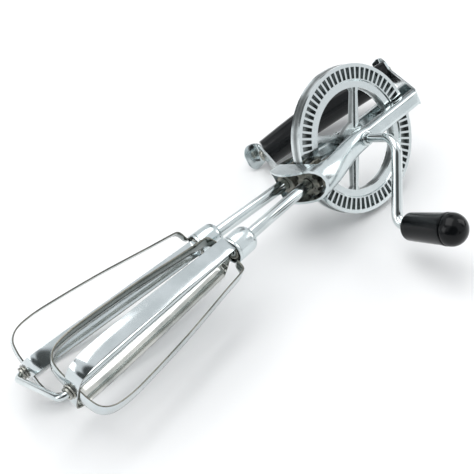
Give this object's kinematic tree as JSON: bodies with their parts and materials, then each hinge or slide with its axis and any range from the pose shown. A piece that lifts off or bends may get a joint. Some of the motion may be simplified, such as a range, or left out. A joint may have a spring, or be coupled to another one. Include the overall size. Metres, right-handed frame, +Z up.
{
  "type": "egg beater",
  "caption": "Hand-cranked rotary egg beater: stamped steel frame with a side grip, a face gear wheel driving two pinions, and two beaters of crossed strip blades, lying on its side.",
  "frame": {"origin": "centre of the bounding box's underside, on the surface that the egg beater lies on", "axes": "+X towards the grip end, along the shafts seen from above; -Y towards the crank knob; +Z up"},
  "size_m": [0.2972, 0.1528, 0.0735],
  "materials": {
    "chrome": "bright plated",
    "steel": "polished stainless",
    "casting": "plated die casting",
    "dull_casting": "aged bare die casting",
    "plastic": "glossy black moulding"
  },
  "bodies": {
    "frame": {"frame_body": "chrome", "handle_grip": "plastic", "grip_rod": "steel", "grip_rivet_top": "steel", "grip_rivet_bottom": "steel", "axle_bush_front": "steel", "axle_bush_rear": "steel", "guide_rod": "chrome", "rod_anchor_front": "dull_casting", "rod_anchor_rear": "dull_casting", "hub_stop_front": "steel", "hub_stop_rear": "steel"},
    "drive": {"gear_wheel": "casting", "crank_rod": "chrome", "hub_spacer_front": "steel", "hub_spacer_rear": "steel", "axle_end_cap": "steel", "knob_retainer": "steel"},
    "knob": {"crank_knob": "plastic", "knob_end_cap": "plastic"},
    "front_beater": {"pinion_front": "dull_casting", "thrust_washer_front": "steel", "shaft_tube_front": "chrome", "ferrule_front": "chrome", "blade_core_front": "steel", "blade_loop_a_front": "steel", "blade_loop_b_front": "steel", "hub_eyelet_front": "steel"},
    "rear_beater": {"pinion_rear": "dull_casting", "thrust_washer_rear": "steel", "shaft_tube_rear": "chrome", "ferrule_rear": "chrome", "blade_core_rear": "steel", "blade_loop_a_rear": "steel", "blade_loop_b_rear": "steel", "hub_eyelet_rear": "steel"}
  },
  "joints": [
    {"name": "crank_turn", "type": "hinge", "parent": "frame", "child": "drive", "pos_m": [0.06222, 0.00963, 0.03677], "axis": [-0.0232, -0.9085, 0.4172], "continuous": true},
    {"name": "knob_spin", "type": "hinge", "parent": "drive", "child": "knob", "pos_m": [0.04218, -0.00629, 0.00098], "axis": [-0.0232, -0.9085, 0.4172], "continuous": true},
    {"name": "front_beater_spin", "type": "hinge", "parent": "frame", "child": "front_beater", "pos_m": [0.02808, 0.0022, 0.03829], "axis": [0.9965, 0.0817, 0.0178], "continuous": true},
    {"name": "rear_beater_spin", "type": "hinge", "parent": "frame", "child": "rear_beater", "pos_m": [0.02846, 0.01707, 0.03146], "axis": [0.9923, -0.0817, 0.0929], "continuous": true}
  ],
  "couplings": [
    {"joint": "front_beater_spin", "follows": "crank_turn", "ratio": -5.5},
    {"joint": "rear_beater_spin", "follows": "crank_turn", "ratio": 5.5}
  ]
}
